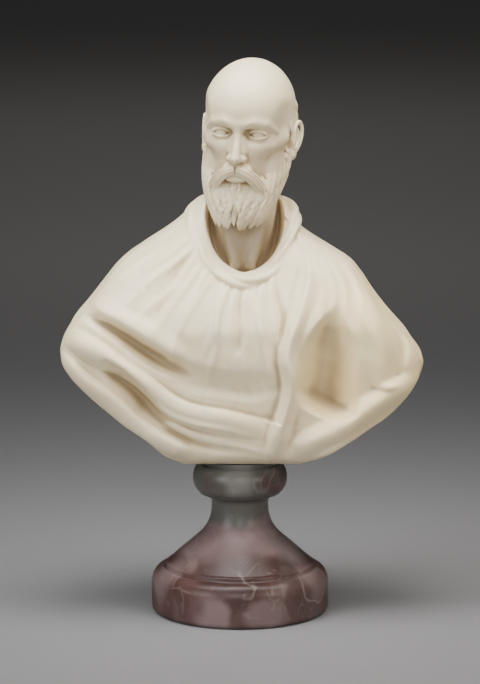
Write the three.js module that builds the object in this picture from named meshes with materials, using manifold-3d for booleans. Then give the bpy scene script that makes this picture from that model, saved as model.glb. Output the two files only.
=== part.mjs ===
// A small marble bust of a bearded man in a mantle, standing on a turned socle of dark red marble.
// Millimetres, +Z up. The origin is the centre of the socle's underside, and the bust looks along -Y.
import * as THREE from "three";
import { mergeVertices } from "three/addons/utils/BufferGeometryUtils.js";
import Module from "manifold-3d";

const wasm = await Module();
wasm.setup();

// Driving sizes
const SOCLE_HEIGHT = 109;
const SOCLE_BASE_RADIUS = 62;
const SOCLE_STEM_FOOT = 50.5; // radius where the hollow stem starts on the drum
const SOCLE_NECK_RADIUS = 19.8;
const SOCLE_CAP_RADIUS = 33;
const SOCLE_SIDES = 32;
const REST_GAP = 0.3; // between the socle's top and the bust's flat foot
const FOOT_HEIGHT = SOCLE_HEIGHT + REST_GAP;
const RIGHT_REACH = 127; // from the axis to the point of the cut right arm
const LEFT_REACH = 129.5; // and of the left one
const COLLAR_HEIGHT = 291; // top of the cloth behind the neck

const HEAD_CENTRE = new THREE.Vector3(6, -2, 341.2);
const HEAD_SIZE = 0.93; // the head's own sizes below are those of one 100 mm from crown to chin
const HEAD_TURN = THREE.MathUtils.degToRad(-12); // towards the bust's right shoulder
const HEAD_LEAN = THREE.MathUtils.degToRad(3);
const HEAD_NOD = THREE.MathUtils.degToRad(3);

const MARBLE = new THREE.MeshStandardMaterial({ color: 0xe0d6c4, roughness: 0.45, metalness: 0 });
const RED_MARBLE = new THREE.MeshStandardMaterial({ color: 0x5d4543, roughness: 0.2, metalness: 0 });

// Joining and cutting of rounded forms. A form is a function that is negative inside.
const join = (a, b, blend) => {
  const h = Math.max(blend - Math.abs(a - b), 0) / blend;
  return Math.min(a, b) - (h * h * blend) / 4;
};
const meet = (a, b, blend) => -join(-a, -b, blend);

// A smooth curve through [position, value] pairs, held level past its ends
function through(pairs) {
  const slope = (i) => {
    const [before, after] = [pairs[Math.max(i - 1, 0)], pairs[Math.min(i + 1, pairs.length - 1)]];
    return (after[1] - before[1]) / (after[0] - before[0]);
  };
  return (at) => {
    if (at <= pairs[0][0]) return pairs[0][1];
    const i = pairs.findIndex(([position]) => position > at) - 1;
    if (i < 0) return pairs.at(-1)[1];
    const [[x0, y0], [x1, y1]] = [pairs[i], pairs[i + 1]];
    const [span, t] = [x1 - x0, (at - x0) / (x1 - x0)];
    const bend = t * (1 - t) * span;
    return y0 + (y1 - y0) * t * t * (3 - 2 * t) + bend * ((1 - t) * slope(i) - t * slope(i + 1));
  };
}

// Rounded forms
const egg = (x, y, z, rx, ry, rz) => (p) => {
  const [u, v, w] = [(p.x - x) / rx, (p.y - y) / ry, (p.z - z) / rz];
  const reach = Math.hypot(u, v, w);
  return (reach * (reach - 1)) / Math.max(Math.hypot(u / rx, v / ry, w / rz), 1e-6);
};
const roll = (points, radii) => {
  const rods = points.slice(1).map((end, i) => {
    const start = new THREE.Vector3(...points[i]);
    const along = new THREE.Vector3(...end).sub(start);
    return { start, along, from: radii[i], to: radii[i + 1], square: along.lengthSq() };
  });
  const reach = new THREE.Vector3();
  return (p) => {
    let least = Infinity;
    for (const { start, along, from, to, square } of rods) {
      reach.subVectors(p, start);
      const t = THREE.MathUtils.clamp(reach.dot(along) / square, 0, 1);
      least = Math.min(least, reach.addScaledVector(along, -t).length() - from - (to - from) * t);
    }
    return least;
  };
};
const mirrored = (make) => [-1, 1].map(make);

// The head, in its own frame: +Z up through the crown, -Y through the nose, centre half way up
const SKULL = [
  ["join", egg(0, 5, 13, 33, 41.5, 37), 1],
  ["join", egg(0, -8, 15, 27.5, 30.5, 26), 12],
  ["join", egg(0, -9, -16, 26, 28, 33), 12],
  ...mirrored((s) => ["join", roll([[s * 24, 2, -22], [s * 18, -16, -38], [s * 7, -30, -45]], [6, 7, 7]), 8]),
  ...mirrored((s) => ["cut", egg(s * 36, -20, 10, 7.5, 16, 13), 8]),
  ...mirrored((s) => ["join", roll([[s * 12, -29, -10], [s * 20.5, -23.8, -8], [s * 28, -10, -5]], [5, 5.4, 3.4]), 8]),
  ["join", egg(0, -30, -44, 9, 8, 8), 6],
  ...mirrored((s) => ["cut", egg(s * 13.5, -41.5, 0.5, 9.5, 9.5, 6.5), 4]),
  ["join", roll([[-25, -25.5, 4], [-12, -36, 9.5], [0, -37.6, 7.4], [12, -36, 9.5], [25, -25.5, 4]], [2, 3.4, 2.8, 3.4, 2]), 4],
  ...mirrored((s) => ["join", egg(s * 13.5, -28.8, 0, 7.4, 6.8, 6.1), 1.6]),
  ["join", roll([[0, -36.5, 6], [0, -39.6, -4], [0, -45, -16]], [2.6, 2.9, 4]), 3.5],
  ...mirrored((s) => ["join", egg(s * 4.9, -40, -17.2, 3, 4.5, 3), 1.5]),
  ["join", egg(0, -36.2, -27, 11.5, 5, 7), 3],
  ["join", egg(0, -39, -33, 7.6, 3, 2.4), 1.2],
];
const EARS = mirrored((s) => [
  ["join", egg(s * 34, 7, -7, 3.8, 9, 14), 2],
  ["cut", egg(s * 38.5, 5, -5, 3, 4.5, 8), 2],
]).flat();

// Locks of hair: each bends out from its root and turns in again at its tip
function lock(root, tip, bow, thickness) {
  const [start, end] = [new THREE.Vector3(...root), new THREE.Vector3(...tip)];
  const middle = start.clone().add(end).multiplyScalar(0.5).add(new THREE.Vector3(...bow));
  const points = new THREE.QuadraticBezierCurve3(start, middle, end).getPoints(3).map((p) => p.toArray());
  return ["join", roll(points, [0.85, 1, 0.9, 0.4].map((share) => share * thickness)), 1.2];
}

// The beard is short and slightly parted. Its locks start along the cheek, at mid height and near the ends.
const BEARD_LINES = [
  [[32, 0, -9], [27, -16.5, -19], [17, -29.5, -31], [4.5, -37.5, -38]],
  [[32.5, -2, -24], [29, -19, -33], [20, -32.5, -43], [3.5, -41, -47]],
  [[30, -6, -38], [27, -19, -47], [19.5, -32.5, -55], [3.5, -41.5, -58]],
  [[22, -9, -51], [20.5, -19, -60], [15.5, -30.5, -68], [5, -38, -70]],
];
const LOCKS_PER_LINE = 5;
const BEARD_LOCK = 4.6;
function beardLocks(s) {
  const lines = BEARD_LINES.map(
    (points) => new THREE.CatmullRomCurve3(points.map(([x, y, z]) => new THREE.Vector3(s * x, y, z))),
  );
  const locks = [];
  for (let row = 0; row + 1 < lines.length; row++)
    for (let i = 0; i < LOCKS_PER_LINE; i++) {
      const share = (i + 0.5 * (row % 2)) / (LOCKS_PER_LINE - 0.5);
      const root = lines[row].getPoint(share).toArray();
      const tip = lines[row + 1].getPoint(Math.min(share + 0.04, 1)).toArray();
      locks.push(lock(root, tip, [s * 3 * (1 - share), -3.5, -1], BEARD_LOCK));
    }
  return locks;
}
const BEARD = [
  ...mirrored((s) => ["join", egg(s * 20.5, -10, -30, 9.8, 14, 19), 6]),
  ...mirrored((s) => ["join", egg(s * 11.5, -25, -48, 10.8, 12.2, 16), 5]),
  ["join", egg(0, -33.5, -48, 8, 6.8, 14), 4],
  ...mirrored(beardLocks).flat(),
  ...mirrored((s) => [
    "join",
    roll([[s * 2, -42, -25.5], [s * 9, -41, -29], [s * 16, -36.5, -36], [s * 20, -32.5, -47]], [3.2, 4, 3.8, 1.6]),
    1.5,
  ]),
];

// A fringe of short hair runs from temple to temple round the back, in two rows of falling locks. The
// head's girth under them goes by height.
const HAIR_ROWS = [
  { top: 20, drop: 22, from: -0.28 },
  { top: -2, drop: 24, from: 0.5 },
];
const HAIR_LOCK = 5.4;
const HAIR_STEP = 0.29; // from lock to lock round the head
const hairAcross = through([[-32, 23], [-16, 31], [-4, 34.2], [8, 34.8], [18, 33.8], [28, 31]]);
const hairDeep = through([[-32, 27], [-16, 35], [-4, 39], [8, 40.6], [18, 40], [28, 37.5]]);
function hairLocks(s) {
  const onHead = (turn, height, out) => [
    s * (hairAcross(height) + out) * Math.cos(turn),
    6.5 + (hairDeep(height) + out) * Math.sin(turn),
    height,
  ];
  return HAIR_ROWS.flatMap(({ top, drop, from }, row) => {
    const count = Math.round((Math.PI / 2 - from) / HAIR_STEP);
    return Array.from({ length: count + 1 - row }, (_, i) => {
      const turn = from + (i + 0.5 * row) * HAIR_STEP;
      const bow = [s * 2 * Math.cos(turn), 2 * Math.sin(turn), 0];
      return lock(onHead(turn, top, -4), onHead(turn, top - drop, -2.5), bow, HAIR_LOCK);
    });
  });
}
const HAIR = [["join", egg(0, 12, -5, 32, 31.5, 25), 4], ...mirrored(hairLocks).flat()];

const formOf = (steps) => (p) =>
  steps.reduce(
    (field, [deed, form, blend]) =>
      deed === "cut" ? meet(field, -form(p), blend) : join(field, form(p), blend),
    Infinity,
  );
const headForm = formOf([...SKULL, ...BEARD, ...HAIR, ...EARS]);
const neckForm = formOf([
  ["join", roll([[1, 12, 225], [5, 8.5, 320]], [24, 21.5]), 1],
  ...mirrored((s) => [
    "join",
    roll([[5 + s * 19, 9, 318], [3 + s * 14, -4.5, 284], [2 + s * 5, -14.5, 246]], [5, 4.6, 3.6]),
    5,
  ]),
  ["join", egg(2.5, -13, 277, 4.2, 4.6, 6.5), 5],
]);

// The cloth. Outlines are seen from in front, as [height, half-width], on the bust's right and left.
const RIGHT_OUTLINE = [
  [180, RIGHT_REACH], [192, 123], [205, 116], [218, 105.5], [232, 95], [246, 84], [253, 76.5],
  [260, 67], [267, 56], [274, 46], [281, 38], [287, 33], [COLLAR_HEIGHT, 30],
];
const LEFT_OUTLINE = [
  [172, LEFT_REACH], [183, 125.5], [197, 115.5], [211, 103.5], [225, 93], [239, 84], [248, 76.5],
  [253, 69.5], [260, 58.5], [267, 47.5], [274, 40], [281, 36.5], [287, 33.5], [COLLAR_HEIGHT, 31],
];
// The arc on which the arms and the chest are cut off below, as [half-width, height]
const RIGHT_CUT = [
  [38, FOOT_HEIGHT], [50, 115.5], [66, 129.5], [81, 139.5], [95, 151], [104, 158.5],
  [112, 166], [118, 173], [122.5, 180], [RIGHT_REACH, 189],
];
const LEFT_CUT = [
  [40, FOOT_HEIGHT], [58, 116], [75, 126.5], [90, 136.5], [102, 144.5], [108.5, 150.5],
  [114.5, 157], [120, 164], [124.5, 171.5], [LEFT_REACH, 180],
];
// Depth of chest and back on the axis, as [height, depth]
const CHEST = [
  [109, 29], [117, 37.5], [128, 41], [140, 42], [150, 44], [160, 46.5], [172, 50], [184, 52], [196, 52],
  [208, 50], [220, 45], [232, 38], [244, 31], [256, 24], [268, 18], [280, 14], [COLLAR_HEIGHT, 8],
];
const BACK = [
  [109, 24], [117, 31], [132, 38], [150, 43], [175, 47], [200, 49], [220, 48], [240, 44], [256, 39],
  [270, 38], [282, 38], [COLLAR_HEIGHT, 38],
];
const CHEST_ROUNDNESS = 2.4;
const CHEST_REACH = 135;
// How softly front and back turn into the sides, as [distance from the axis, blend]
const sideBlend = through([[70, 24], [115, 11]]);

// The mantle's two edges on the chest, seen from in front as [x, z]: its rolled edge under the right arm
// and across, and the edge that hangs from the left shoulder
const ROLL = [[-124, 201], [-104, 192], [-84, 180.5], [-64, 168.5], [-46, 157], [-24, 146], [0, 139], [22, 135]];
const EDGE = [[37, 268], [44, 252], [45, 238], [40, 221], [35, 204], [35, 188], [36, 171], [32, 153], [22, 122]];
// What lies to the right of each line is an upper layer of cloth, this much thicker
const LAYERS = [
  { line: ROLL.map(([x, z]) => [x, z + 8]), thick: 2.8 },
  { line: EDGE.toReversed(), thick: 2.6 },
];

// Folds of the cloth: the rise of the crest, or fall of the hollow, at either end of its line, and how far
// it spreads to the left of the line and to its right
const FRONT_FOLDS = [
  { line: ROLL, rise: [6, 3.5], spread: [9, 9] },
  { line: [[-118, 217], [-99, 208], [-77, 197], [-57, 186], [-36, 176]], rise: [-9, -9], spread: [11, 8] },
  { line: [[-56, 184], [-36, 174], [-12, 167], [10, 165], [30, 168]], rise: [-3.5, -4], spread: [16, 10] },
  { line: [[-98, 186], [-87, 176], [-75, 165.5], [-63, 155], [-49, 144]], rise: [-10, -12], spread: [8, 10] },
  { line: [[-128, 190], [-109, 174], [-90, 159.5], [-70, 144.5], [-50, 130], [-30, 119]], rise: [4, 5], spread: [7, 9] },
  { line: EDGE, rise: [3.5, 6], spread: [10, 8] },
  { line: [[64, 222], [61, 205], [60, 188], [57, 171], [51, 152]], rise: [-8, -19], spread: [22, 19] },
  { line: [[84, 240], [92, 214], [97, 194], [101, 176], [102, 164]], rise: [4, 5], spread: [11, 11] },
  { line: [[95, 232], [107, 208], [113, 192], [116, 180]], rise: [-2, -3.5], spread: [6, 6] },
  { line: [[34, 128], [58, 141], [78, 153], [98, 164], [120, 177]], rise: [6, 8], spread: [9, 8] },
  { line: [[-33, 281], [-33, 271], [-28, 257], [-18, 245], [1, 238], [18, 242], [29, 255], [36, 271]], rise: [3.5, 3.5], spread: [8, 8] },
  { line: [[-28, 258], [-46, 234], [-60, 208]], rise: [-1.5, -3.2], spread: [8, 8] },
  { line: [[3, 234], [1, 212], [-4, 190]], rise: [-1.5, -3], spread: [8, 8] },
  { line: [[25, 240], [30, 215], [31, 192]], rise: [-1.5, -3], spread: [7, 8] },
];
// The back's folds fan out from under the collar. Each is given by its share of the width, -1 to 1.
const BACK_FOLDS = [-1, -0.6, -0.2, 0.2, 0.6, 1].map((share) => ({
  line: [
    [3 + 30 * share, 280 - 14 * Math.abs(share)],
    [52 * share, 226],
    [78 * share, 176],
    [86 * share, 112 + 26 * Math.abs(share)],
  ],
  rise: [2, 4],
  spread: [10, 10],
}));
const LINE_STEPS = 14;

// How far off a line a place on the cloth lies, the share of the line's length, and if it lies to its left
function byLine(line) {
  const points = new THREE.SplineCurve(line.map(([x, z]) => new THREE.Vector2(x, z))).getPoints(LINE_STEPS);
  return (x, z) => {
    let [nearest, share, left] = [Infinity, 0, true];
    for (let i = 0; i < LINE_STEPS; i++) {
      const [a, b] = [points[i], points[i + 1]];
      const [dx, dz, px, pz] = [b.x - a.x, b.y - a.y, x - a.x, z - a.y];
      const t = THREE.MathUtils.clamp((px * dx + pz * dz) / (dx * dx + dz * dz), 0, 1);
      const away = Math.hypot(px - t * dx, pz - t * dz);
      if (away < nearest) [nearest, share, left] = [away, (i + t) / LINE_STEPS, dx * pz - dz * px > 0];
    }
    return [nearest, share, left];
  };
}
function foldOver({ line, rise, spread }) {
  const place = byLine(line);
  return (x, z) => {
    const [nearest, share, left] = place(x, z);
    const reach = Math.min(nearest / spread[left ? 0 : 1], 1);
    const ends = THREE.MathUtils.smoothstep(Math.min(share, 1 - share), -0.02, 0.14);
    return THREE.MathUtils.lerp(rise[0], rise[1], share) * (1 - reach * reach) ** 2 * ends;
  };
}
const LAYER_EDGE = 7; // across the rounded edge of an upper layer
function layerOver({ line, thick }) {
  const place = byLine(line);
  return (x, z) => {
    const [nearest, , left] = place(x, z);
    return thick * THREE.MathUtils.smoothstep(left ? -nearest : nearest, -LAYER_EDGE / 2, LAYER_EDGE / 2);
  };
}
const [folds, layers, foldsBehind] = [FRONT_FOLDS.map(foldOver), LAYERS.map(layerOver), BACK_FOLDS.map(foldOver)];
const total = (heights, x, z) => heights.reduce((sum, height) => sum + height(x, z), 0);
const frontFolds = (x, z) => total(folds, x, z) + Math.max(...layers.map((layer) => layer(x, z)));
const backFolds = (x, z) => total(foldsBehind, x, z);

const [rightOutline, leftOutline, chest, back] = [RIGHT_OUTLINE, LEFT_OUTLINE, CHEST, BACK].map(through);
const acrossShare = (x) =>
  Math.max(1 - (Math.abs(x) / CHEST_REACH) ** CHEST_ROUNDNESS, 0.001) ** (1 / CHEST_ROUNDNESS);
function clothForm(p) {
  const outline = p.x < 0 ? rightOutline : leftOutline;
  const flare = (outline(p.z + 1) - outline(p.z - 1)) / 2;
  const side = (Math.abs(p.x) - outline(p.z)) / Math.hypot(1, flare);
  const before = -p.y - chest(p.z) * acrossShare(p.x) - frontFolds(p.x, p.z);
  const behind = p.y - back(p.z) * acrossShare(p.x) - backFolds(p.x, p.z);
  const blend = sideBlend(Math.abs(p.x));
  return meet(meet(before, side, blend), meet(behind, side, blend), 1);
}

// The outermost point of a form's surface on a line from a core
const CLOSE = 0.02;
function ontoSurface(form, core, direction, farthest) {
  const place = new THREE.Vector3();
  let reach = farthest;
  for (let gap = Infinity; gap > CLOSE && reach > 0.5; ) {
    gap = form(place.copy(core).addScaledVector(direction, reach));
    reach -= Math.max(0.6 * gap, CLOSE);
  }
  return core.clone().addScaledVector(direction, reach);
}

// Two triangles that make a quad are split along the diagonal that lies closer to the form
function splitAlongForm(geometry, form) {
  const [index, place] = [geometry.index.array, geometry.attributes.position];
  const at = (i) => new THREE.Vector3().fromBufferAttribute(place, i);
  const gap = (i, j) => Math.abs(form(at(i).lerp(at(j), 0.5)));
  const facing = (i, j, k) => at(j).sub(at(i)).cross(at(k).sub(at(i)));
  for (let i = 0; i + 5 < index.length; i += 3) {
    const [first, second] = [[...index.slice(i, i + 3)], [...index.slice(i + 3, i + 6)]];
    const [own, other] = [first.find((v) => !second.includes(v)), second.find((v) => !first.includes(v))];
    if (first.filter((v) => second.includes(v)).length !== 2) continue;
    const next = first[(first.indexOf(own) + 1) % 3];
    const last = first[(first.indexOf(own) + 2) % 3];
    const turned = facing(own, next, other).dot(facing(own, other, last)) <= 0;
    if (!turned && gap(own, other) < gap(next, last)) index.set([own, next, other, own, other, last], i);
    i += 3;
  }
}

// A closed geometry as a solid, once vertices that share a place are merged
const whole = (geometry) => mergeVertices(geometry.deleteAttribute("normal").deleteAttribute("uv"), 1e-3);
function solidOf(geometry) {
  const merged = whole(geometry);
  return new wasm.Manifold(
    new wasm.Mesh({
      numProp: 3,
      vertProperties: merged.attributes.position.array,
      triVerts: new Uint32Array(merged.index.array),
    }),
  );
}
function geometryOf(solid) {
  const mesh = solid.getMesh();
  const geometry = new THREE.BufferGeometry();
  geometry.setAttribute("position", new THREE.BufferAttribute(mesh.vertProperties, 3));
  geometry.setIndex(new THREE.BufferAttribute(mesh.triVerts, 1));
  const faceted = geometry.toNonIndexed();
  faceted.computeVertexNormals();
  return faceted;
}

// Shoulders, chest and back as one lathe form, its rings drawn out to the cloth. The lines along which they
// are drawn start from a blade inside the body, so that those on the front run nearly parallel.
const CLOTH_RINGS = 26;
const CLOTH_SIDES = 68;
const FRONT_SHARE = 0.7; // of the sides, the share that lies on the front
const CLOTH_BOTTOM = 102;
const CLOTH_TOP = COLLAR_HEIGHT - 0.5;
const BLADE_SHARE = 0.7; // of the half-width
function clothSolid() {
  const heights = Array.from(
    { length: CLOTH_RINGS + 1 },
    (_, i) => CLOTH_BOTTOM + ((CLOTH_TOP - CLOTH_BOTTOM) * i) / CLOTH_RINGS,
  );
  const profile = [
    new THREE.Vector2(0, heights[0]),
    ...heights.map((z) => new THREE.Vector2(1, z)),
    new THREE.Vector2(0, heights.at(-1)),
  ];
  const geometry = new THREE.LatheGeometry(profile, CLOTH_SIDES);
  geometry.rotateX(Math.PI / 2);
  const place = geometry.attributes.position;
  for (let i = 0; i < place.count; i++) {
    const z = place.getZ(i);
    if (Math.hypot(place.getX(i), place.getY(i)) < 0.5) continue;
    const share = (Math.floor(i / profile.length) % CLOTH_SIDES) / CLOTH_SIDES;
    const angle =
      share < FRONT_SHARE
        ? Math.PI * (1 + share / FRONT_SHARE)
        : Math.PI * ((share - FRONT_SHARE) / (1 - FRONT_SHARE));
    const [across, along] = [Math.cos(angle), Math.sin(angle)];
    const width = across < 0 ? rightOutline(z) : leftOutline(z);
    const core = new THREE.Vector3(BLADE_SHARE * width * across, 3, z);
    const direction = new THREE.Vector3((1 - BLADE_SHARE) * width * across, 50 * along, 0).normalize();
    const found = ontoSurface(clothForm, core, direction, 90);
    place.setXYZ(i, found.x, found.y, found.z);
  }
  splitAlongForm(geometry, clothForm);
  return solidOf(geometry);
}

// What is cut away below the arms, as one plate across the whole depth
function belowTheArms() {
  const shape = new THREE.Shape();
  const [right, left] = [RIGHT_CUT, LEFT_CUT];
  const far = LEFT_REACH + 20;
  shape.moveTo(-far, 60);
  shape.lineTo(far, 60);
  shape.lineTo(far, left.at(-1)[1] + 14);
  shape.splineThru(left.toReversed().map(([x, z]) => new THREE.Vector2(x, z)));
  shape.lineTo(-right[0][0], right[0][1]);
  shape.splineThru(right.slice(1).map(([x, z]) => new THREE.Vector2(-x, z)));
  shape.lineTo(-far, right.at(-1)[1] + 14);
  const plate = new THREE.ExtrudeGeometry(shape, { depth: 200, bevelEnabled: false, curveSegments: 16 });
  plate.rotateX(Math.PI / 2).translate(0, 100, 0);
  return solidOf(plate);
}

// The opening of the collar, in which the throat shows
function neckOpening() {
  const hollow = new THREE.SphereGeometry(1, 26, 16);
  hollow.scale(27.5, 40, 48).rotateX(THREE.MathUtils.degToRad(14)).translate(3.5, -13, 287);
  return solidOf(hollow);
}
function neckSolid() {
  const neck = new THREE.CylinderGeometry(1, 1, 88, 24, 4);
  neck.rotateX(Math.PI / 2).translate(0, 0, 276);
  const place = neck.attributes.position;
  for (let i = 0; i < place.count; i++) {
    const direction = new THREE.Vector3(place.getX(i), place.getY(i), 0);
    if (direction.length() < 0.5) continue;
    const found = ontoSurface(neckForm, new THREE.Vector3(3, 10, place.getZ(i)), direction, 60);
    place.setXYZ(i, found.x, found.y, found.z);
  }
  return solidOf(neck);
}

const HEAD_SIDES = 50;
const HEAD_RINGS = 32;
const HEAD_CORE = new THREE.Vector3(0, 0, -6);
// Sides and rings stand closer on the face than behind
const closerInFront = (turn) => turn - 0.36 * Math.sin(turn);
const closerAtMidHeight = (turn) => turn + 0.13 * Math.sin(2 * turn);
function headSolid() {
  const geometry = new THREE.SphereGeometry(1, HEAD_SIDES, HEAD_RINGS);
  geometry.rotateX(Math.PI / 2);
  const place = geometry.attributes.position;
  const spherical = new THREE.Spherical();
  for (let i = 0; i < place.count; i++) {
    spherical.setFromCartesianCoords(-place.getX(i), place.getZ(i), -place.getY(i));
    spherical.theta = closerInFront(spherical.theta);
    spherical.phi = closerAtMidHeight(spherical.phi);
    const towards = new THREE.Vector3().setFromSpherical(spherical);
    const direction = new THREE.Vector3(-towards.x, -towards.z, towards.y);
    const found = ontoSurface(headForm, HEAD_CORE, direction, 80);
    place.setXYZ(i, found.x, found.y, found.z);
  }
  splitAlongForm(geometry, headForm);
  geometry.scale(HEAD_SIZE, HEAD_SIZE, HEAD_SIZE).rotateX(HEAD_NOD).rotateY(HEAD_LEAN).rotateZ(HEAD_TURN);
  geometry.translate(HEAD_CENTRE.x, HEAD_CENTRE.y, HEAD_CENTRE.z);
  return solidOf(geometry);
}

function bust() {
  const solid = clothSolid().subtract(belowTheArms()).subtract(neckOpening()).add(neckSolid()).add(headSolid());
  const mesh = new THREE.Mesh(geometryOf(solid), MARBLE);
  mesh.name = "bust";
  return mesh;
}

// The socle is turned from one block: a drum with a rounded shoulder, a hollow stem, and a rounded cap
function socle() {
  const [base, cap, neck] = [SOCLE_BASE_RADIUS, SOCLE_CAP_RADIUS, SOCLE_NECK_RADIUS];
  const arc = (centreR, centreZ, radiusR, radiusZ, from, to, steps) =>
    Array.from({ length: steps + 1 }, (_, i) => {
      const angle = THREE.MathUtils.degToRad(from + ((to - from) * i) / steps);
      return new THREE.Vector2(centreR + radiusR * Math.cos(angle), centreZ + radiusZ * Math.sin(angle));
    });
  const stem = new THREE.SplineCurve(
    [
      [SOCLE_STEM_FOOT, 34.2], [45, 39.5], [39.2, 44.8], [32.8, 50.3], [27, 55.8],
      [23.2, 61], [21, 66.5], [20, 72], [neck, 77],
    ].map(([radius, height]) => new THREE.Vector2(radius, height)),
  );
  const profile = [
    new THREE.Vector2(0, 0),
    ...arc(base - 4, 4, 4, 4, -90, 0, 3),
    ...arc(base - 8.5, 20, 8.5, 11, 0, 84, 5),
    new THREE.Vector2(SOCLE_STEM_FOOT + 1.5, 33.4),
    ...stem.getPoints(8),
    ...arc(cap - 4, 76.5, cap - 4 - neck, 7.5, 165, 95, 3),
    ...arc(cap - 6.5, 94.7, 6.5, 10.4, -75, 88, 6),
    new THREE.Vector2(cap - 4.5, 105.8),
    new THREE.Vector2(cap - 4.5, SOCLE_HEIGHT),
    new THREE.Vector2(0, SOCLE_HEIGHT),
  ];
  const geometry = new THREE.LatheGeometry(profile, SOCLE_SIDES);
  geometry.rotateX(Math.PI / 2);
  const mesh = new THREE.Mesh(geometryOf(solidOf(geometry)), RED_MARBLE);
  mesh.name = "socle";
  return mesh;
}

const group = new THREE.Group();
group.add(socle(), bust());
export default group;
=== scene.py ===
"""A marble bust of a bearded man in a mantle on a turned socle, dressed in Blender round its CAD frame.

Lengths are in millimetres until a mesh is made, and in metres from there on.
"""

import math

import bpy
import numpy as np
from mathutils import Euler, Matrix, Vector


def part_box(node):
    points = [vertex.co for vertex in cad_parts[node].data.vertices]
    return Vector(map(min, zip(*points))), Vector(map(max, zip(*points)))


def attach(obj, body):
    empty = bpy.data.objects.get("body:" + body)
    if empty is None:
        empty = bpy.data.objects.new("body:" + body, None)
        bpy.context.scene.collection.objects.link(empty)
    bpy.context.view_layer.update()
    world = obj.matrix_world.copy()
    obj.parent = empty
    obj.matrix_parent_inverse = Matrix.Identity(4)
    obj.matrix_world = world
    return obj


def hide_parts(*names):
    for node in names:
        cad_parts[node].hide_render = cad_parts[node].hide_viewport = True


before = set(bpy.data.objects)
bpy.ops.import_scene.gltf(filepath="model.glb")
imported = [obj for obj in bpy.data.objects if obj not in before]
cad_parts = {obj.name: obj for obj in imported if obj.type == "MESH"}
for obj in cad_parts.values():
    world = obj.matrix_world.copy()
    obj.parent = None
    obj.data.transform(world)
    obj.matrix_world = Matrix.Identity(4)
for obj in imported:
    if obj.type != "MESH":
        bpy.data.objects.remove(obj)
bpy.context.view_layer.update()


# The socle
# One block of dark red variegated marble, turned on a lathe and polished. It stands on its flat
# underside and carries the bust on its rounded cap.

MM = 0.001
socle_low, socle_high = (np.array(corner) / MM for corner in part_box("socle"))
SOCLE_HEIGHT = socle_high[2] - socle_low[2]
SOCLE_BASE = (socle_high[0] - socle_low[0]) / 2
SOCLE_CAP = 0.532 * SOCLE_BASE
SOCLE_SIDES = 144
ARRIS = 0.5  # how far a polished edge is rounded


def arc(centre, radii, start, end, steps):
    """Points on an arc of an ellipse, in degrees from the direction away from the axis"""
    turn = np.radians(np.linspace(start, end, steps))
    return [(centre[0] + radii[0] * math.cos(a), centre[1] + radii[1] * math.sin(a)) for a in turn]


def curve(points, share):
    """The place at a share, 0 to 1, of a smooth curve through points, or the places at several"""
    points = np.array(points, float)
    spans = len(points) - 1
    share = np.clip(np.asarray(share, float), 0, 1) * spans
    first = np.minimum(share.astype(int), spans - 1)
    t = (share - first).reshape(*np.shape(share), *[1] * (points.ndim - 1))
    a, b = points[first], points[first + 1]
    before, after = points[np.maximum(first - 1, 0)], points[np.minimum(first + 2, spans)]
    bend = (2 * before - 5 * a + 4 * b - after) * t**2 + (3 * a - before - 3 * b + after) * t**3
    return a + 0.5 * ((b - before) * t + bend)


# The stem between drum and cap, as radius and height
STEM = [
    (50.5, 34.2), (45, 39.5), (39.2, 44.8), (32.8, 50.3), (27, 55.8), (23.2, 61), (21, 66.5), (20, 72),
    (19.8, 77),
]


def socle_profile():
    """The turned outline, as radius and height: foot, drum, ledge, stem, neck and cap"""
    base, cap, neck = SOCLE_BASE, SOCLE_CAP, STEM[-1][0]
    return [
        (0, 0),
        (base - 5, 0),
        *arc((base - 4, 4), (4, 4), -85, 0, 8),
        *arc((base - 8.5, 20), (8.5, 11), 0, 84, 18),
        (STEM[0][0] + 1.5, 31.2),
        (STEM[0][0] + 1.5, 33.4),
        (STEM[0][0] + 0.8, STEM[0][1]),
        *[tuple(point) for point in curve(STEM, np.linspace(0, 1, 36))],
        *arc((cap - 4, 76.5), (cap - 4 - neck, 7.5), 172, 95, 14),
        *arc((cap - 6.5, 94.7), (6.5, 10.4), -80, 88, 22),
        (cap - 4.8, 105.8),
        *arc((cap - 4.5 - ARRIS, SOCLE_HEIGHT - ARRIS), (ARRIS, ARRIS), 0, 90, 4),
        (0, SOCLE_HEIGHT),
    ]


def turned(name, profile, sides):
    """A closed mesh made by turning a profile, given as radius and height, round the upright axis"""
    rings = np.array(profile[1:-1])
    turn = np.linspace(0, 2 * math.pi, sides, endpoint=False)
    around = np.stack([np.cos(turn), np.sin(turn)], 1)
    ring_points = np.concatenate(
        [rings[:, None, :1] * around, np.broadcast_to(rings[:, None, 1:], (len(rings), sides, 1))], 2
    )
    points = [*ring_points.reshape(-1, 3), (0, 0, profile[0][1]), (0, 0, profile[-1][1])]
    foot, top = len(points) - 2, len(points) - 1
    faces = []
    for i in range(sides):
        j = (i + 1) % sides
        faces.append((foot, j, i))
        for row in range(len(rings) - 1):
            below, above = row * sides, (row + 1) * sides
            faces.append((below + i, below + j, above + j, above + i))
        faces.append((above + i, above + j, top))
    mesh = bpy.data.meshes.new(name)
    mesh.from_pydata([Vector(p) * MM for p in points], [], faces)
    mesh.shade_smooth()
    piece = bpy.data.objects.new(name, mesh)
    bpy.context.scene.collection.objects.link(piece)
    return piece


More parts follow.
